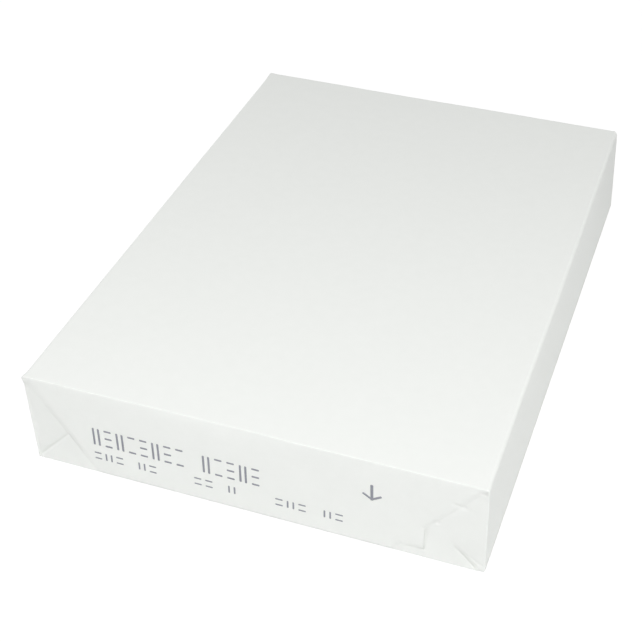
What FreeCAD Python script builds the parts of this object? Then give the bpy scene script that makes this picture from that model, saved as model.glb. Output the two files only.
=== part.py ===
import FreeCAD, Part
import math
import os

import Sketcher

# A sealed ream of A4 paper, lying flat: the sheets and their paper wrapper are one closed pack.
# Millimetres. X runs across the sheets and Y along them, with the end that carries the print
# at -Y. Z is up, and the origin is the middle of the underside.

# each size that can be set by itself, with what it measures on the real pack
SIZES = {
    "sheet_width": (210.0, "A4 sheet, short side"),
    "sheet_length": (297.0, "A4 sheet, long side"),
    "sheet_count": (500.0, "sheets in the ream"),
    "sheet_thickness": (0.0965, "one sheet in the pressed stack"),
    "wrapper_ply": (0.12, "thickness of the wrapping paper"),
    "wrapper_slack": (0.18, "air between the stack and each side of the wrapper"),
    "fold_spring": (0.14, "air held in each flap's folded plies"),
    "top_edge_radius": (2.2, "bend over the long top edges"),
    "bottom_edge_radius": (1.2, "bend under the long bottom edges, pressed by the weight"),
    "end_edge_radius": (0.9, "bend round the rim of both folded ends"),
    "flap_foot_height": (1.1, "free edge of the upper flaps, above the underside"),
    "front_left_foot": (29.0, "front upper flap, its foot in from the left side"),
    "front_right_foot": (40.2, "front upper flap, its foot in from the right side"),
    "front_left_meet": (19.1, "height where the two flap edges meet, front left"),
    "front_right_meet": (21.5, "height where the two flap edges meet, front right"),
    "loose_corner_top": (18.5, "height where the loose corner leaves the slanted edge"),
    "loose_corner_bottom": (5.4, "height of the lower side of the loose corner"),
    "back_foot": (38.0, "back upper flap, its feet in from both sides"),
    "back_meet": (22.5, "height where the two flap edges meet on the back"),
    "seam_offset": (32.0, "free edge of the lap seam, to the right of the middle"),
    "seam_run": (5.0, "width over which the wrapper sinks beside the lap seam"),
}

# sizes that follow from the ones above; a flap is the wrapper with its gusset folded in behind it,
# so each end holds the side tuck's single ply, the lower flap and the upper flap over it
FLAP_THICKNESS = "(2 * Sizes.wrapper_ply + Sizes.fold_spring)"
END_THICKNESS = f"(Sizes.wrapper_ply + 2 * {FLAP_THICKNESS})"
WIDTH = "(Sizes.sheet_width + 2 * Sizes.wrapper_ply + 2 * Sizes.wrapper_slack)"
LENGTH = f"(Sizes.sheet_length + 2 * {END_THICKNESS})"
HEIGHT = "(Sizes.sheet_count * Sizes.sheet_thickness + 3 * Sizes.wrapper_ply + Sizes.wrapper_slack)"
RIGHT = f"({WIDTH} / 2)"
LEFT = f"(-{WIDTH} / 2)"
# how far the outlines of cuts run past the pack
REACH = f"({HEIGHT} / 8)"


def make_sheet(doc):
    """Write every driving size into a named cell of its own."""
    sheet = doc.addObject("Spreadsheet::Sheet", "Sizes")
    for row, (alias, (value, meaning)) in enumerate(SIZES.items(), start=1):
        sheet.set(f"A{row}", alias)
        sheet.set(f"B{row}", str(value))
        sheet.setAlias(f"B{row}", alias)
        sheet.set(f"C{row}", meaning)
    doc.recompute()


def new_sketch(body, name, forward="0"):
    """Make a sketch across the pack, upright and facing -Y, moved forward by an expression."""
    sketch = body.newObject("Sketcher::SketchObject", name)
    plane = next(item for item in body.Origin.OriginFeatures if item.Role == "XZ_Plane")
    sketch.AttachmentSupport = [(plane, "")]
    sketch.MapMode = "FlatFace"
    sketch.setExpression("AttachmentOffset.Base.z", forward)
    return sketch


def bound(sketch, kind, *where, size):
    """Add a dimension to the sketch and bind it to an expression on the sheet."""
    start_value = float(sketch.evalExpression(size))
    index = sketch.addConstraint(Sketcher.Constraint(kind, *where, start_value))
    sketch.setExpression(f"Constraints[{index}]", size)


def closed_outline(sketch, corners):
    """Draw straight lines round the corners, each given as two expressions, and fix them all."""
    points = [
        FreeCAD.Vector(sketch.evalExpression(across), sketch.evalExpression(up), 0)
        for across, up in corners
    ]
    first = sketch.GeometryCount
    for start, stop in zip(points, points[1:] + points[:1]):
        sketch.addGeometry(Part.LineSegment(start, stop), False)
    for step, (across, up) in enumerate(corners):
        line = first + step
        following = first + (step + 1) % len(corners)
        sketch.addConstraint(Sketcher.Constraint("Coincident", line, 2, following, 1))
        bound(sketch, "DistanceX", -1, 1, line, 1, size=across)
        bound(sketch, "DistanceY", -1, 1, line, 1, size=up)


def section_sketch(body):
    """Draw the pack's cross-section: flat sides joined by an arc at each of the four bends."""
    sketch = new_sketch(body, "CrossSection")
    half = float(sketch.evalExpression(RIGHT))
    top = float(sketch.evalExpression(HEIGHT))
    # every bend in turn, against the clock: its corner, its radius and the angle its arc starts at
    bends = [
        (half, 0.0, "Sizes.bottom_edge_radius", 270),
        (half, top, "Sizes.top_edge_radius", 0),
        (-half, top, "Sizes.top_edge_radius", 90),
        (-half, 0.0, "Sizes.bottom_edge_radius", 180),
    ]
    arcs = []
    for across, up, size, start in bends:
        radius = float(sketch.evalExpression(size))
        centre = FreeCAD.Vector(
            across - math.copysign(radius, across),
            radius if up == 0.0 else up - radius,
            0,
        )
        circle = Part.Circle(centre, FreeCAD.Vector(0, 0, 1), radius)
        arc = Part.ArcOfCircle(circle, math.radians(start), math.radians(start + 90))
        arcs.append((sketch.addGeometry(arc, False), arc, size))
    sides = []
    for step, (index, arc, size) in enumerate(arcs):
        following, following_arc, _ = arcs[(step + 1) % 4]
        line = sketch.addGeometry(Part.LineSegment(arc.EndPoint, following_arc.StartPoint), False)
        sketch.addConstraint(Sketcher.Constraint("Tangent", index, 2, line, 1))
        sketch.addConstraint(Sketcher.Constraint("Tangent", line, 2, following, 1))
        sides.append(line)
    for index, _, size in arcs:
        bound(sketch, "Radius", index, size=size)
    right, roof, left, floor = sides
    for line in (right, left):
        sketch.addConstraint(Sketcher.Constraint("Vertical", line))
    for line in (roof, floor):
        sketch.addConstraint(Sketcher.Constraint("Horizontal", line))
    sketch.addConstraint(Sketcher.Constraint("PointOnObject", floor, 1, -1))
    bound(sketch, "DistanceX", -1, 1, right, 1, size=RIGHT)
    bound(sketch, "DistanceX", -1, 1, left, 1, size=LEFT)
    bound(sketch, "DistanceY", -1, 1, roof, 1, size=HEIGHT)
    return sketch


def pad_pack(body):
    """Draw the section out along the sheets, half to each side of the middle."""
    pad = body.newObject("PartDesign::Pad", "Pack")
    pad.Profile = section_sketch(body)
    pad.SideType = "Symmetric"
    pad.setExpression("Length", LENGTH)
    body.Document.recompute()
    return pad


def round_end_rims(body, pack):
    """Round the rim of both ends, where the wrapper bends from the sides into the end folds."""
    reach = float(pack.evalExpression(f"{LENGTH} / 2"))
    touching = 1e-6
    rims = [
        f"Edge{number}"
        for number, edge in enumerate(pack.Shape.Edges, start=1)
        if all(abs(abs(vertex.Y) - reach) < touching for vertex in edge.Vertexes)
        and edge.BoundBox.YLength < touching
    ]
    fillet = body.newObject("PartDesign::Fillet", "EndRims")
    fillet.Base = (pack, rims)
    fillet.setExpression("Radius", "Sizes.end_edge_radius")
    body.Document.recompute()
    return fillet


def cut(body, name, sketch, depth, towards_back):
    """Cut a sketch at one end into the pack by the depth of the plies that stop there."""
    pocket = body.newObject("PartDesign::Pocket", name)
    pocket.Profile = sketch
    pocket.Reversed = not towards_back
    pocket.setExpression("Length", depth)
    body.Document.recompute()
    return pocket


def slanted(side, foot, height):
    """Give the place across the pack of an upper flap's slanted edge, at a height.

    The edge runs straight from the pack's top corner to the flap's foot on the same side.
    """
    sign = "-" if side == LEFT else "+"
    inward = "+" if sign == "-" else "-"
    fall = f"({HEIGHT} - {height}) / ({HEIGHT} - Sizes.flap_foot_height)"
    return f"({side} {inward} {foot} * {fall})"


def fold_end(body, end, left_foot, right_foot, left_meet, right_meet, right_edge):
    """Fold one end shut: side tucks first, then the lower flap, then the upper flap over both.

    The end's flat face is the upper flap. Outside its outline the pack is cut back to the lower
    flap, and in a triangle at each side, between both flaps' slanted edges, to the side tuck.
    """
    front = end == "Front"
    forward = f"{LENGTH} / 2" if front else f"-{LENGTH} / 2"
    above = f"{HEIGHT} + {REACH}"
    below = f"-{REACH}"
    far_left = f"{LEFT} - {REACH}"
    far_right = f"{RIGHT} + {REACH}"

    outline = new_sketch(body, f"{end}UpperFlap", forward)
    surround = f"2 * {REACH}"
    closed_outline(outline, [
        (f"{LEFT} - {surround}", f"-{surround}"),
        (f"{RIGHT} + {surround}", f"-{surround}"),
        (f"{RIGHT} + {surround}", f"{HEIGHT} + {surround}"),
        (f"{LEFT} - {surround}", f"{HEIGHT} + {surround}"),
    ])
    left_end = slanted(LEFT, left_foot, "Sizes.flap_foot_height")
    closed_outline(outline, [
        (LEFT, above),
        (LEFT, HEIGHT),
        (left_end, "Sizes.flap_foot_height"),
        *right_edge,
        (RIGHT, HEIGHT),
        (RIGHT, above),
    ])
    cut(body, f"{end}UpperFlapEdge", outline, FLAP_THICKNESS, front)

    tucks = new_sketch(body, f"{end}SideTucks", forward)
    closed_outline(tucks, [
        (LEFT, HEIGHT),
        (far_left, above),
        (far_left, below),
        (LEFT, "0"),
        (slanted(LEFT, left_foot, left_meet), left_meet),
    ])
    closed_outline(tucks, [
        (RIGHT, "0"),
        (far_right, below),
        (far_right, above),
        (RIGHT, HEIGHT),
        (slanted(RIGHT, right_foot, right_meet), right_meet),
    ])
    cut(body, f"{end}LowerFlapEdge", tucks, f"2 * {FLAP_THICKNESS}", front)


def fold_front(body):
    """Fold the printed end, whose upper flap has a loose corner sticking out on the right."""
    foot = "Sizes.front_right_foot"
    corner = slanted(RIGHT, foot, "Sizes.loose_corner_top")
    right_edge = [
        (slanted(RIGHT, foot, "Sizes.flap_foot_height"), "Sizes.flap_foot_height"),
        (slanted(RIGHT, foot, "Sizes.loose_corner_bottom"), "Sizes.loose_corner_bottom"),
        (corner, "Sizes.loose_corner_bottom"),
        (corner, "Sizes.loose_corner_top"),
    ]
    fold_end(
        body, "Front", "Sizes.front_left_foot", foot,
        "Sizes.front_left_meet", "Sizes.front_right_meet", right_edge,
    )


def fold_back(body):
    """Fold the hidden end the same way, with both slanted edges alike."""
    foot = "Sizes.back_foot"
    right_edge = [(slanted(RIGHT, foot, "Sizes.flap_foot_height"), "Sizes.flap_foot_height")]
    fold_end(body, "Back", foot, foot, "Sizes.back_meet", "Sizes.back_meet", right_edge)


def sink_lap_seam(body):
    """Sink the inner ply beside the lap seam, which runs along the middle of the underside."""
    sketch = new_sketch(body, "LapSeam")
    closed_outline(sketch, [
        ("Sizes.seam_offset", "-Sizes.wrapper_ply"),
        ("Sizes.seam_offset + 2 * Sizes.seam_run", "-Sizes.wrapper_ply"),
        ("Sizes.seam_offset", "Sizes.wrapper_ply"),
    ])
    groove = body.newObject("PartDesign::Pocket", "LapSeamEdge")
    groove.Profile = sketch
    groove.SideType = "Symmetric"
    groove.setExpression("Length", f"{LENGTH} + 2 * {REACH}")
    body.Document.recompute()


def make_ream(doc):
    """Build the sealed pack as one body."""
    body = doc.addObject("PartDesign::Body", "Ream")
    body.Label = "wrapped_ream"
    pack = pad_pack(body)
    round_end_rims(body, pack)
    fold_front(body)
    fold_back(body)
    sink_lap_seam(body)
    body.Placement = FreeCAD.Placement()
    return body


def check_and_write(doc, bodies):
    """Stop on any failed feature or broken shape, then write each body to its own file."""
    for item in doc.Objects:
        if any(word in ("Invalid", "Error") for word in item.State):
            raise RuntimeError(f"{item.Label} failed: {item.State}")
    for body in bodies:
        if body.Shape.isNull() or not body.Shape.isValid():
            raise RuntimeError(f"{body.Label} has no valid shape")
    os.makedirs("parts", exist_ok=True)
    for body in bodies:
        body.Shape.exportStep(f"parts/{body.Label}.step")


doc = FreeCAD.newDocument("Ream")
make_sheet(doc)
bodies = [make_ream(doc)]
doc.recompute()
check_and_write(doc, bodies)
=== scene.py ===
from math import atan2, cos, radians, sin

import bmesh
import bpy
from mathutils import Matrix, Vector, noise
from mathutils.bvhtree import BVHTree


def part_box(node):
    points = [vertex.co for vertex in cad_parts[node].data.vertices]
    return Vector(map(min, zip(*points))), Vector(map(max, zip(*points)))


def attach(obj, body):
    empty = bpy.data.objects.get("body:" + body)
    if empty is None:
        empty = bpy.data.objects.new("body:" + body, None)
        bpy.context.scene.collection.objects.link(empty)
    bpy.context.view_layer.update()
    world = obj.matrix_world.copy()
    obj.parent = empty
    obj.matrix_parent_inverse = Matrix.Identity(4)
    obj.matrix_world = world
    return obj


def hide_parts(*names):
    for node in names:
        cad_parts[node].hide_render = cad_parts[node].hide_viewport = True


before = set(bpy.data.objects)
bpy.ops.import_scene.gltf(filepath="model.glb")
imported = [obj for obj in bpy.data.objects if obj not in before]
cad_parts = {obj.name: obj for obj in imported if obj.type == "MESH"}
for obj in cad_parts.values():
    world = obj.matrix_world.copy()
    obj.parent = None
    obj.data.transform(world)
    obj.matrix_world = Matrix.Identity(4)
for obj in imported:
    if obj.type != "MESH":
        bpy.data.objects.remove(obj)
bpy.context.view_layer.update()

# The wrapper is one sheet of white wrapping paper, folded round the stack of sheets and lapped
# along the underside. Both ends are closed like an envelope: the sides are tucked in, the lower
# flap is folded up over them, and the upper flap is folded down over both and glued.
low, high = (Vector(corner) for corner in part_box("wrapped_ream"))
half_width = (high.x - low.x) / 2
half_length = (high.y - low.y) / 2
height = high.z - low.z
top_bend = 0.0022
bottom_bend = 0.0008
end_bend = 0.00035
top_bend_segments = 8
bottom_bend_segments = 5
end_bend_segments = 4
hair = 1e-7

wrapper = bmesh.new()
bmesh.ops.create_cube(wrapper, size=1.0)
bmesh.ops.scale(wrapper, vec=(2 * half_width, 2 * half_length, height), verts=wrapper.verts)
bmesh.ops.translate(wrapper, vec=(0, 0, height / 2), verts=wrapper.verts)


def middle(element):
    """Give the middle of an edge or a face."""
    return sum((vert.co for vert in element.verts), Vector()) / len(element.verts)


def runs_lengthwise(edge):
    """Tell whether an edge runs along the sheets, from one end of the pack to the other."""
    first, last = (vert.co for vert in edge.verts)
    return abs(first.y - last.y) > half_length


def bend(mesh, edges, radius, segments):
    """Bend the paper round these edges."""
    bmesh.ops.bevel(
        mesh, geom=edges, offset=radius, offset_type="OFFSET", segments=segments,
        profile=0.5, affect="EDGES", clamp_overlap=False, material=-1,
    )


long_edges = [edge for edge in wrapper.edges if runs_lengthwise(edge)]
top_edges = [edge for edge in long_edges if middle(edge).z > height / 2]
bend(wrapper, top_edges, top_bend, top_bend_segments)
long_edges = [edge for edge in wrapper.edges if runs_lengthwise(edge) and middle(edge).z < hair]
outer = [edge for edge in long_edges if abs(abs(middle(edge).x) - half_width) < hair]
bend(wrapper, outer, bottom_bend, bottom_bend_segments)
rims = [edge for edge in wrapper.edges if not runs_lengthwise(edge)]
bend(wrapper, rims, end_bend, end_bend_segments)

# Each flap is two plies thick, because its gusset lies folded in behind it. Every slanted edge is
# a fold of the sheet. It is cut into the flat end as two lines, a fold's thickness apart, and what
# lies behind a flap is then pressed in by the plies that it lacks.
flap_depth = 0.0004
fold_run = 0.00015
under_fold = 0.0007
fold_lines = (-0.003, -0.002, -0.0012, -0.0006, 0.0, fold_run, 0.0009, 0.0018)
flap_foot = 0.0011
corner_reach = 0.006
top_corner_depth = 0.25
bottom_corner_depth = 0.6
flush_run = 0.01
front_left_foot = 0.029
front_right_foot = 0.0402
front_left_meet = 0.0191
front_right_meet = 0.0218
front_right_inset = 0.0031
loose_corner_top = 0.0173
loose_corner_bottom = 0.0056
back_foot = 0.038
back_meet = 0.0225
touching = 2e-6


def ease(value):
    """Rise smoothly from 0 to 1 as a value does, and stay there outside."""
    value = min(1.0, max(0.0, value))
    return value * value * (3 - 2 * value)


def with_borders(faces):
    """Give these faces with their edges and corners, each once and always in the same order."""
    edges = dict.fromkeys(edge for face in faces for edge in face.edges)
    verts = dict.fromkeys(vert for face in faces for vert in face.verts)
    return [*faces, *edges, *verts]


class Fold:
    """A straight fold on an end, run through so that its flap lies on the left of the way."""

    def __init__(self, start, stop):
        self.start = Vector(start)
        self.along = (Vector(stop) - self.start).normalized()
        self.outward = Vector((self.along.y, -self.along.x))

    def distance(self, across, up):
        """Give how far outside the flap a point lies, which is negative on the flap."""
        return (Vector((across, up)) - self.start).dot(self.outward)


def off_folds(folds, across, up):
    """Give how far outside a flap's folds a point lies, and which fold is farthest behind it."""
    fold = max(folds, key=lambda fold: fold.distance(across, up))
    return fold.distance(across, up), fold


def slant(side, foot, up):
    """Give the place across the pack of an upper flap's slanted fold at a height."""
    return side * (half_width - foot * (height - up) / (height - flap_foot))


class FoldedEnd:
    """One end of the pack, with the outlines of its flaps seen from in front of the pack."""

    def __init__(self, side, left_foot, right_foot, left_meet, right_meet, right_inset):
        self.side = side
        self.flush_above = height
        left = (slant(-1, left_foot, flap_foot), flap_foot)
        right = (slant(1, right_foot, flap_foot), flap_foot)
        self.upper = [
            Fold((-half_width, height), left),
            Fold(left, right),
            Fold(right, (half_width, height)),
        ]
        self.lower = [
            Fold((slant(-1, left_foot, left_meet), left_meet), (-half_width, 0)),
            Fold((half_width - right_inset, 0), (slant(1, right_foot, right_meet), right_meet)),
        ]
        self.corner = []

    def loosen_corner(self, foot, top, bottom):
        """Let a corner of the upper flap stick out on the right, between two heights."""
        self.flush_above = bottom
        across = slant(1, foot, top)
        self.corner = [
            Fold((0, bottom), (across, bottom)),
            Fold((across, bottom), (across, height)),
        ]

    def off_upper(self, across, up):
        """Give how far outside the upper flap a point lies, and past which fold."""
        outside, fold = off_folds(self.upper, across, up)
        if self.corner and across > 0:
            off_corner, corner_fold = off_folds(self.corner, across, up)
            if off_corner < outside:
                outside, fold = off_corner, corner_fold
        return outside, fold

    def off_lower(self, across, up):
        """Give how far outside the lower flap a point lies, and past which fold."""
        return off_folds(self.lower, across, up)

    def holds(self, place):
        """Tell whether a point lies on this end, its rim included."""
        return self.side * place.y > half_length - end_bend - hair

    def cut_fold(self, mesh, fold, wanted):
        """Cut a fold's lines across the wanted faces of the end."""
        for shift in fold_lines:
            faces = [face for face in mesh.faces if self.holds(middle(face))]
            faces = [face for face in faces if wanted(middle(face).x, middle(face).z)]
            place = fold.start + fold.outward * shift
            bmesh.ops.bisect_plane(
                mesh, geom=with_borders(faces), dist=hair,
                plane_co=(place.x, 0, place.y), plane_no=(fold.outward.x, 0, fold.outward.y),
            )

    def cut_folds(self, mesh):
        """Cut all the folds of the end."""
        right_slant = self.upper[2]
        for fold in self.upper:
            self.cut_fold(mesh, fold, lambda across, up: True)
        for fold in self.corner:
            self.cut_fold(
                mesh, fold,
                lambda across, up: across > 0 and right_slant.distance(across, up) > 0,
            )
        for fold in self.lower:
            self.cut_fold(mesh, fold, lambda across, up: self.off_upper(across, up)[0] > 0)

    def lay(self, place):
        """Give the way that a point of the flat end moves, to lie behind the flaps over it."""
        across, up = place.x, place.z
        off_flap, flap_fold = self.off_upper(across, up)
        off_both, lower_fold = self.off_lower(across, up)
        if off_flap < touching:
            return Vector()
        from_corner = Vector((half_width - abs(across), min(up, height - up))).length
        grown = min(1.0, from_corner / corner_reach)
        kept = top_corner_depth if up > height / 2 else bottom_corner_depth
        # the lower flap lies flush with the right tuck above its free foot
        behind = 1 - ease((up - self.flush_above) / flush_run) if across > 0 else 1.0
        plies = 1 if off_both < touching else 1 + behind
        move = Vector((0, -self.side * plies * flap_depth * (kept + (1 - kept) * grown), 0))
        # the foot of each fold lies a little under the flap, but not under the pack
        under = min((fold_run + under_fold) * ease(grown), up)
        if off_flap < fold_run + touching:
            move -= Vector((flap_fold.outward.x, 0, flap_fold.outward.y)) * under
        elif plies > 1 and off_both < fold_run + touching:
            move -= Vector((lower_fold.outward.x, 0, lower_fold.outward.y)) * under * behind
        return move


front_end = FoldedEnd(
    -1, front_left_foot, front_right_foot, front_left_meet, front_right_meet, front_right_inset,
)
front_end.loosen_corner(front_right_foot, loose_corner_top, loose_corner_bottom)
back_end = FoldedEnd(1, back_foot, back_foot, back_meet, back_meet, 0.0)
front_end.cut_folds(wrapper)
back_end.cut_folds(wrapper)

# The paper gives way everywhere, so the sheet is divided finely before it is shaped, and twice
# as finely on the folded ends.
step = 0.0015
along_step = 0.003
end_margins = (0.001, 0.002, 0.003, 0.0045)
side_margins = (0.0009, 0.0018)
column_margin = 0.003
lowest_row = 0.0022
top_row_margin = 0.0032
seam_offset = 0.032
seam_run = 0.005
seam_step = 0.00012
seam_edge = 0.00005


def even_places(first, last, step):
    """Space places evenly from first to last, about a step apart."""
    count = round((last - first) / step)
    return [first + (last - first) * index / count for index in range(count + 1)]


def slice_sheet(mesh, part, places, normal):
    """Divide a part of the sheet by parallel planes and return it with its new pieces."""
    for place in places:
        part = bmesh.ops.bisect_plane(
            mesh, geom=part, dist=hair, plane_co=Vector(normal) * place, plane_no=normal,
        )["geom"]
    return part


def whole(mesh):
    """Give all that a mesh is made of."""
    return [*mesh.faces, *mesh.edges, *mesh.verts]


across_cuts = [side * (half_length - margin) for margin in end_margins for side in (-1, 1)]
slice_sheet(wrapper, whole(wrapper), across_cuts, (0, 1, 0))
columns = even_places(-half_width + column_margin, half_width - column_margin, step)
rows = even_places(lowest_row, height - top_row_margin, step)
shoulders = [side * (half_width - margin) for margin in side_margins for side in (-1, 1)]
slice_sheet(wrapper, whole(wrapper), [*columns, *shoulders], (1, 0, 0))
slice_sheet(wrapper, whole(wrapper), rows, (0, 0, 1))
under_faces = [face for face in wrapper.faces if middle(face).z < hair]
seam_cuts = [seam_offset, seam_offset + seam_edge]
slice_sheet(wrapper, with_borders(under_faces), seam_cuts, (1, 0, 0))
end_start = half_length - end_margins[0]
end_faces = [face for face in wrapper.faces if abs(face.calc_center_median().y) > end_start]
half_columns = [place + step / 2 for place in columns[:-1]]
half_rows = [place + step / 2 for place in rows[:-1]]
ends = slice_sheet(wrapper, with_borders(end_faces), half_columns, (1, 0, 0))
slice_sheet(wrapper, ends, half_rows, (0, 0, 1))
lengthwise = [edge for edge in wrapper.edges if runs_lengthwise(edge)]
bmesh.ops.subdivide_edges(
    wrapper, edges=lengthwise, cuts=round(2 * half_length / along_step), use_grid_fill=True,
)

# Handling has left its marks on the sheet. The stack leans a little to the left and is twisted,
# the wrapper bulges at the long top edges, and it is rippled, dented and crumpled at the corners.
lean_across = 0.001487
lean_along = 0.000478
twist = radians(-0.067)
back_squeeze = 0.001

# a wave is a depth, a place in the noise, and the lengths over which it changes: across, along, up
side_wave = (0.00016, 3.1, 0.05, 0.055, 0.011)
top_wave = (0.00016, 7.7, 0.06, 0.08, 0.05)
top_ripple = (0.00005, 1.3, 0.016, 0.02, 0.05)
end_wave = (0.00018, 12.9, 0.022, 0.05, 0.014)

front_bulge = 0.0002
back_bulge_more = 0.00035
bulge_reach = 0.012
roll_depth = 0.00004
roll_reach = 0.007
dent_depth = 0.00035
dent_reach = 0.008
dent_middle = -0.02
dent_half_width = 0.045
dent_fade = 0.03
shoulder_depth = 0.0002
shoulder_reach = 0.0038
crease_fade = 0.0012
corner_out = 0.0003
corner_out_reach = 0.008
crumple_depth = 0.0003
crumple_reach = 0.014
crumple_size = 0.006
pinch_depth = 0.00025
pinch_reach = 0.005
pinch_size = 0.0022
noise_seed = 5
loose_lift_depth = 0.0004
loose_lift_reach = 0.009
loose_lift_top = 0.0125

# creases pressed into the front end at the right: start and stop, across and up, depth and width
pressed_creases = (
    ((0.0912, 0.0362), (0.0950, 0.0351), 0.00026, 0.0016),
    ((0.0950, 0.0351), (0.1000, 0.0338), 0.00008, 0.0014),
    ((0.0842, 0.0230), (0.0836, 0.0225), 0.0003, 0.0018),
    ((0.0994, 0.0063), (0.1041, 0.0030), 0.0002, 0.0012),
    ((0.1020, 0.0460), (0.1042, 0.0450), 0.0004, 0.0012),
)


# the vector noise is seeded by the clock otherwise, and each run would crumple other corners
noise.seed_set(noise_seed)


def ripple(place, depth, seed, across, along, up):
    """Give a smooth random height between about -1 and 1 depth, stretched by three lengths."""
    stretched = Vector((place.x / across + seed, place.y / along, place.z / up))
    return depth * noise.noise(stretched)


def rounded(off, depth, width):
    """Give how far a flap has sunk near its edge, where the paper bends over softly."""
    return depth * max(0.0, min(1.0, 1 + off / width)) ** 1.6


def gaping(off, depth, width):
    """Give how far the paper lies back beside a flap that stands open."""
    return depth * (1 - ease(off / width))


def pressed(place, start, stop, width):
    """Tell how strongly a point lies in a crease from start to stop: 1 in it, 0 beside it."""
    start, stop, place = Vector(start), Vector(stop), Vector(place)
    run = stop - start
    share = min(1.0, max(0.0, (place - start).dot(run) / run.length_squared))
    return 1 - ease((place - start - run * share).length / width)


def loose_lift(across, up):
    """Give how far the front flap's loose corner stands out."""
    off_bottom, off_side = (fold.distance(across, up) for fold in front_end.corner)
    near_side = 1 - ease(-off_side / loose_lift_reach)
    near_bottom = 1 - ease((up - loose_lift_top) / 0.005)
    return loose_lift_depth * near_side * ease((0.001 - off_bottom) / 0.003) * near_bottom


def left_creases(off_flap, off_both, across, up):
    """Give how far the front end lies behind its flat place beside its folds on the left."""
    if off_flap < touching:
        near_meet = ease(1 - abs(up - front_left_meet) / 0.03)
        off_left = front_end.upper[0].distance(across, up)
        return rounded(off_left, 0.00035 + 0.0004 * near_meet, 0.0045)
    if off_both < touching:
        return rounded(off_both, 0.00015, 0.0012)
    return 0.03 * off_flap + gaping(off_both, 0.00012, 0.001)


def front_creases(across, up):
    """Give how far the front end lies behind its flat place, for what is folded or pressed."""
    off_flap, flap_fold = front_end.off_upper(across, up)
    off_both = front_end.off_lower(across, up)[0]
    if across < 0:
        return left_creases(off_flap, off_both, across, up)
    low_down = (1 - ease((up - 0.007) / 0.008)) * ease(up / 0.002)
    creased = 0.0
    for start, stop, depth, width in pressed_creases:
        creased += depth * pressed((across, up), start, stop, width)
    if off_flap < touching:
        if flap_fold is front_end.upper[2]:
            creased += rounded(off_flap, 0.00034, 0.0024)
        return creased - loose_lift(across, up)
    if off_both < touching:
        if flap_fold is front_end.corner[1]:
            creased += gaping(off_flap, 0.00006, 0.0014)
        return creased + rounded(off_both, 0.0002 * low_down, 0.001)
    return creased + gaping(off_both, 0.0003 * low_down, 0.002)


def back_creases(across, up):
    """Give how far the back end lies behind its flat place beside its folds."""
    off_flap = back_end.off_upper(across, up)[0]
    off_both = back_end.off_lower(across, up)[0]
    if off_flap < touching:
        return rounded(off_flap, 0.00025, 0.003) if up > flap_foot + 0.003 else 0.0
    if off_both < touching:
        return rounded(off_both, 0.0002, 0.0015)
    return 0.02 * off_flap


def shape_paper(place):
    """Give the way that a point moves from its folded place to where it lies on the real pack."""
    side = 1 if place.x > 0 else -1
    from_side = half_width - abs(place.x)
    from_end = half_length - abs(place.y)
    from_top = height - place.z
    along = (place.y + half_length) / (2 * half_length)
    on_side = 1 - ease(from_side / 0.002)
    on_face = 1 - ease(from_end / 0.003)
    on_top = 1 - ease(from_top / 0.002)
    move = Vector()
    # the sides bulge below the long top edges and carry faint waves
    bulge = (front_bulge + back_bulge_more * along) * (1 - ease(from_top / bulge_reach)) ** 2
    fade = ease(place.z / 0.004) * ease(from_end / 0.006)
    move.x -= side * on_side * (bulge + ripple(place, *side_wave) * fade)
    # the top lies in shallow waves and rolls down towards the ends
    wave = ripple(place, *top_wave) + ripple(place, *top_ripple)
    roll = roll_depth * (1 - ease(from_end / roll_reach)) ** 2
    move.z += on_top * (wave * ease(from_end / 0.012) * ease(from_side / 0.012) - roll)
    # the ends are dented under the top edge and ripple over the glue
    outward = -1 if place.y < 0 else 1
    dent = dent_depth * (1 - ease(from_top / dent_reach)) ** 2
    dent *= ease((dent_half_width - abs(place.x - dent_middle)) / dent_fade)
    fade = ease(place.z / 0.004) * ease(from_top / 0.004) * ease(from_side / 0.004)
    shoulder = shoulder_depth * max(0.0, 1 - from_side / shoulder_reach) ** 2
    if front_end.holds(place):
        dent += front_creases(place.x, place.z) * ease(from_side / crease_fade)
    if back_end.holds(place):
        dent += back_creases(place.x, place.z) * ease(from_side / crease_fade)
    move.y -= outward * on_face * (dent + shoulder + ripple(place, *end_wave) * fade)
    # the inner ply lies a little higher beside the lap seam on the underside
    past_seam = place.x - seam_offset
    if place.z < hair and seam_edge / 2 < past_seam < seam_run:
        move.z += seam_step * (1 - past_seam / seam_run) * ease(from_end / 0.003)
    # the right side leans in towards the top at the back
    move.x -= back_squeeze * along ** 4 * (place.z / height) * max(0.0, place.x / half_width)
    # the top corners are crumpled where three folds meet, and stand out a little
    if place.z > height / 2:
        from_corner = Vector((from_side, from_end, from_top)).length
        corner_move = corner_out * (1 - ease(from_corner / corner_out_reach))
        crumple = (1 - ease(from_corner / crumple_reach)) * crumple_depth
        pinch = (1 - ease(from_corner / pinch_reach)) * pinch_depth
        move += Vector((side, outward, 0)) * corner_move
        move += noise.noise_vector(place / crumple_size) * crumple
        move += noise.noise_vector(place / pinch_size) * pinch
    return move


for vert in wrapper.verts:
    place = vert.co.copy()
    turned = 0.5 - place.z / height
    place += shape_paper(place)
    for end in (front_end, back_end):
        if end.holds(vert.co):
            place += end.lay(vert.co)
    place = Matrix.Rotation(twist * turned, 3, "Z") @ place
    vert.co = place + Vector((lean_across * turned, lean_along * turned, 0))
bmesh.ops.dissolve_degenerate(wrapper, dist=1e-6, edges=wrapper.edges)

for face in wrapper.faces:
    face.smooth = True
wrapper_mesh = bpy.data.meshes.new("wrapper")
wrapper.to_mesh(wrapper_mesh)
wrapper_mesh.set_sharp_from_angle(angle=radians(40))
wrapper_tree = BVHTree.FromBMesh(wrapper)
wrapper.free()
wrapper_object = bpy.data.objects.new("wrapper", wrapper_mesh)
bpy.context.collection.objects.link(wrapper_object)

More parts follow.
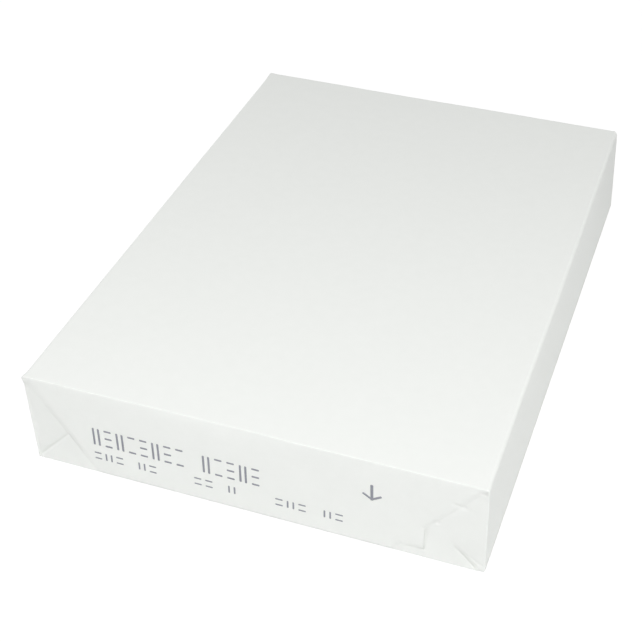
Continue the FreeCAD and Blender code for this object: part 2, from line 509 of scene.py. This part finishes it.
paper_white = (0.862, 0.878, 0.854, 1.0)
paper_shade = (0.832, 0.849, 0.824, 1.0)

wrapping_paper = bpy.data.materials.new("wrapping_paper")
wrapping_paper.use_nodes = True
nodes = wrapping_paper.node_tree.nodes
links = wrapping_paper.node_tree.links
shader = nodes["Principled BSDF"]
shader.inputs["Roughness"].default_value = 0.78
shader.inputs["Specular IOR Level"].default_value = 0.3
coordinates = nodes.new("ShaderNodeTexCoord")
clouds = nodes.new("ShaderNodeTexNoise")
clouds.inputs["Scale"].default_value = 190.0
clouds.inputs["Detail"].default_value = 5.0
clouds.inputs["Roughness"].default_value = 0.6
tint = nodes.new("ShaderNodeMix")
tint.data_type = "RGBA"
tint.inputs["A"].default_value = paper_shade
tint.inputs["B"].default_value = paper_white
fibres = nodes.new("ShaderNodeTexNoise")
fibres.inputs["Scale"].default_value = 2600.0
fibres.inputs["Detail"].default_value = 3.0
relief = nodes.new("ShaderNodeBump")
relief.inputs["Strength"].default_value = 0.25
relief.inputs["Distance"].default_value = 0.00005
links.new(coordinates.outputs["Object"], clouds.inputs["Vector"])
links.new(coordinates.outputs["Object"], fibres.inputs["Vector"])
links.new(clouds.outputs["Fac"], tint.inputs["Factor"])
links.new(tint.outputs["Result"], shader.inputs["Base Color"])
links.new(fibres.outputs["Fac"], relief.inputs["Height"])
links.new(relief.outputs["Normal"], shader.inputs["Normal"])
wrapper_mesh.materials.append(wrapping_paper)

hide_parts("wrapped_ream")
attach(wrapper_object, "root")

# The marks are printed on the front flap in grey ink, in two rows, with an arrow that points down.
# Each stroke is a very thin plate of ink that follows the paper under it.
ink_above = 0.00003
ink_below = 0.00006
large_mark = (0.0035, 0.0100)
small_mark = (0.0034, 0.0042)
large_stroke = 0.0010
small_stroke = 0.0008
stroke_corner = 0.35
stroke_step = 0.001
arrow_top = (0.1610, 0.0137)
arrow_tip = (0.1612, 0.0215)
arrow_left = (0.1575, 0.0191)
arrow_right = (0.1649, 0.0191)
shaft_width = 0.0013
barb_width = 0.0011
large_row = 0.0216
small_row = 0.0359
large_pitch = 0.00575
small_pitch = 0.0053
printing = bmesh.new()


def print_stroke(mesh, start, stop, width):
    """Lay a stroke of ink on the front end, start and stop across and down from its top left."""
    start, stop = Vector(start), Vector(stop)
    run = stop - start
    plate = bmesh.new()
    bmesh.ops.create_cube(plate, size=1.0)
    thickness = ink_above + ink_below
    bmesh.ops.scale(plate, vec=(run.length + width, thickness, width), verts=plate.verts)
    corners = []
    for edge in plate.edges:
        first, last = (vert.co for vert in edge.verts)
        if abs(first.y - last.y) > ink_above:
            corners.append(edge)
    bend(plate, corners, width * stroke_corner, 3)
    for place in even_places(-run.length / 2, run.length / 2, stroke_step):
        bmesh.ops.bisect_plane(
            plate, geom=whole(plate), dist=hair, plane_co=(place, 0, 0), plane_no=(1, 0, 0),
        )
    centre = (start + stop) / 2
    turn = Matrix.Rotation(atan2(run.y, run.x), 3, "Y")
    for vert in plate.verts:
        lift = -ink_above if vert.co.y < 0 else ink_below
        place = turn @ Vector((vert.co.x, 0, vert.co.z))
        place += Vector((centre.x - half_width, low.y - 0.01, height - centre.y))
        paper = wrapper_tree.ray_cast(place, Vector((0, 1, 0)))[0]
        vert.co = paper + Vector((0, lift, 0))
    plate_mesh = bpy.data.meshes.new("stroke")
    plate.to_mesh(plate_mesh)
    plate.free()
    mesh.from_mesh(plate_mesh)
    bpy.data.meshes.remove(plate_mesh)


def print_mark(mesh, left, top, size, stroke, uprights, levels):
    """Print one mark of upright or level strokes, spread evenly over its size."""
    wide, tall = size[0] - stroke, size[1] - stroke
    for index in range(uprights):
        across = left + wide * index / (uprights - 1)
        print_stroke(mesh, (across, top), (across, top + tall), stroke)
    for index in range(levels):
        down = top + tall * index / (levels - 1)
        print_stroke(mesh, (left, down), (left + wide, down), stroke)


pair = (2, 0)
couple = (0, 2)
stack = (0, 3)
large_words = [
    (0.0318, (pair, stack, pair, couple, stack, pair, stack, couple)),
    (0.0846, (pair, couple, stack, pair, stack)),
]
small_words = [
    (0.0315, (couple, pair, couple)), (0.0530, (pair, couple)), (0.0800, (couple, couple)),
    (0.0961, (pair,)), (0.1181, (couple, pair, couple)), (0.1402, (pair, couple)),
]
for word_left, marks in large_words:
    for index, (uprights, levels) in enumerate(marks):
        left = word_left + index * large_pitch
        print_mark(printing, left, large_row, large_mark, large_stroke, uprights, levels)
for word_left, marks in small_words:
    for index, (uprights, levels) in enumerate(marks):
        left = word_left + index * small_pitch
        print_mark(printing, left, small_row, small_mark, small_stroke, uprights, levels)
print_stroke(printing, arrow_top, arrow_tip, shaft_width)
print_stroke(printing, arrow_left, arrow_tip, barb_width)
print_stroke(printing, arrow_right, arrow_tip, barb_width)
for face in printing.faces:
    face.smooth = True
printed_mesh = bpy.data.meshes.new("printed_marks")
printing.to_mesh(printed_mesh)
printing.free()
printed_marks = bpy.data.objects.new("printed_marks", printed_mesh)
bpy.context.collection.objects.link(printed_marks)

ink_dark = (0.235, 0.245, 0.285, 1.0)
ink_faded = (0.34, 0.35, 0.39, 1.0)
ink = bpy.data.materials.new("ink")
ink.use_nodes = True
nodes = ink.node_tree.nodes
links = ink.node_tree.links
shader = nodes["Principled BSDF"]
shader.inputs["Roughness"].default_value = 0.7
coordinates = nodes.new("ShaderNodeTexCoord")
patches = nodes.new("ShaderNodeTexNoise")
patches.inputs["Scale"].default_value = 900.0
patches.inputs["Detail"].default_value = 3.0
tint = nodes.new("ShaderNodeMix")
tint.data_type = "RGBA"
tint.inputs["A"].default_value = ink_dark
tint.inputs["B"].default_value = ink_faded
links.new(coordinates.outputs["Object"], patches.inputs["Vector"])
links.new(patches.outputs["Fac"], tint.inputs["Factor"])
links.new(tint.outputs["Result"], shader.inputs["Base Color"])
printed_mesh.materials.append(ink)

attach(printed_marks, "root")

# The floor is a plain pale sweep, far larger than the pack, and a white room is round it.
floor_mesh = bpy.data.meshes.new("floor")
floor = bmesh.new()
bmesh.ops.create_grid(floor, x_segments=2, y_segments=2, size=6.0)
floor.to_mesh(floor_mesh)
floor.free()
floor_object = bpy.data.objects.new("floor", floor_mesh)
bpy.context.collection.objects.link(floor_object)
floor_paint = bpy.data.materials.new("floor_paint")
floor_paint.use_nodes = True
nodes = floor_paint.node_tree.nodes
links = floor_paint.node_tree.links
nodes["Principled BSDF"].inputs["Base Color"].default_value = (0.8, 0.8, 0.8, 1.0)
nodes["Principled BSDF"].inputs["Roughness"].default_value = 0.9
glow = nodes.new("ShaderNodeEmission")
glow.inputs["Color"].default_value = (1.0, 1.0, 1.0, 1.0)
glow.inputs["Strength"].default_value = 1.1
light_path = nodes.new("ShaderNodeLightPath")
blend = nodes.new("ShaderNodeMixShader")
seen_share = nodes.new("ShaderNodeMath")
seen_share.operation = "MULTIPLY"
seen_share.inputs[1].default_value = 0.85
links.new(light_path.outputs["Is Camera Ray"], seen_share.inputs[0])
links.new(seen_share.outputs["Value"], blend.inputs["Fac"])
links.new(nodes["Principled BSDF"].outputs["BSDF"], blend.inputs[1])
links.new(glow.outputs["Emission"], blend.inputs[2])
links.new(blend.outputs["Shader"], nodes["Material Output"].inputs["Surface"])
floor_mesh.materials.append(floor_paint)

# Soft studio light: an even white room, a large lamp in front of the pack and low ones beside it,
# on its right and behind it.
room_light = 0.433
world = bpy.data.worlds.new("room")
world.use_nodes = True
nodes = world.node_tree.nodes
links = world.node_tree.links
light_path = nodes.new("ShaderNodeLightPath")
room_strength = nodes.new("ShaderNodeMath")
room_strength.operation = "MAXIMUM"
room_strength.inputs[1].default_value = room_light
links.new(light_path.outputs["Is Camera Ray"], room_strength.inputs[0])
links.new(room_strength.outputs["Value"], nodes["Background"].inputs["Strength"])
nodes["Background"].inputs["Color"].default_value = (1.0, 1.0, 1.0, 1.0)
bpy.context.scene.world = world


def add_lamp(name, place, aim, size, watts):
    """Hang a square soft lamp at a place, turned towards a point."""
    lamp = bpy.data.lights.new(name, "AREA")
    lamp.shape = "SQUARE"
    lamp.size = size
    lamp.energy = watts
    holder = bpy.data.objects.new(name, lamp)
    holder.location = place
    holder.rotation_euler = (Vector(aim) - Vector(place)).to_track_quat("-Z", "Y").to_euler()
    holder.visible_camera = False
    bpy.context.collection.objects.link(holder)


add_lamp("front_lamp", place=(0.05, -0.68, 0.96), aim=(0, 0, 0), size=0.35, watts=7.9)
add_lamp("side_lamp", place=(0.774, -0.149, 0.226), aim=(0, 0, 0.03), size=0.25, watts=1.2)
add_lamp("back_lamp", place=(-0.6, 0.8, 0.09), aim=(0, 0, 0.03), size=0.2, watts=2.0)

# The camera stands where the photograph was taken from, found from the pack's outline in it.
standpoint = (0.17019, -0.53376, 0.4341)
azimuth = radians(19.593)
elevation = radians(37.987)
roll = radians(0.017)
camera_data = bpy.data.cameras.new("camera")
camera_data.lens = 76.296
camera_data.sensor_width = 36.0
camera = bpy.data.objects.new("camera", camera_data)
backward = Vector((sin(azimuth) * cos(elevation), -cos(azimuth) * cos(elevation), sin(elevation)))
right = (-backward).cross(Vector((0, 0, 1))).normalized()
up = right.cross(-backward)
turned_right = right * cos(roll) + up * sin(roll)
turned_up = up * cos(roll) - right * sin(roll)
facing = Matrix((turned_right, turned_up, backward)).transposed().to_4x4()
camera.matrix_world = Matrix.Translation(standpoint) @ facing
bpy.context.collection.objects.link(camera)
bpy.context.scene.camera = camera
bpy.context.scene.view_settings.view_transform = "Standard"
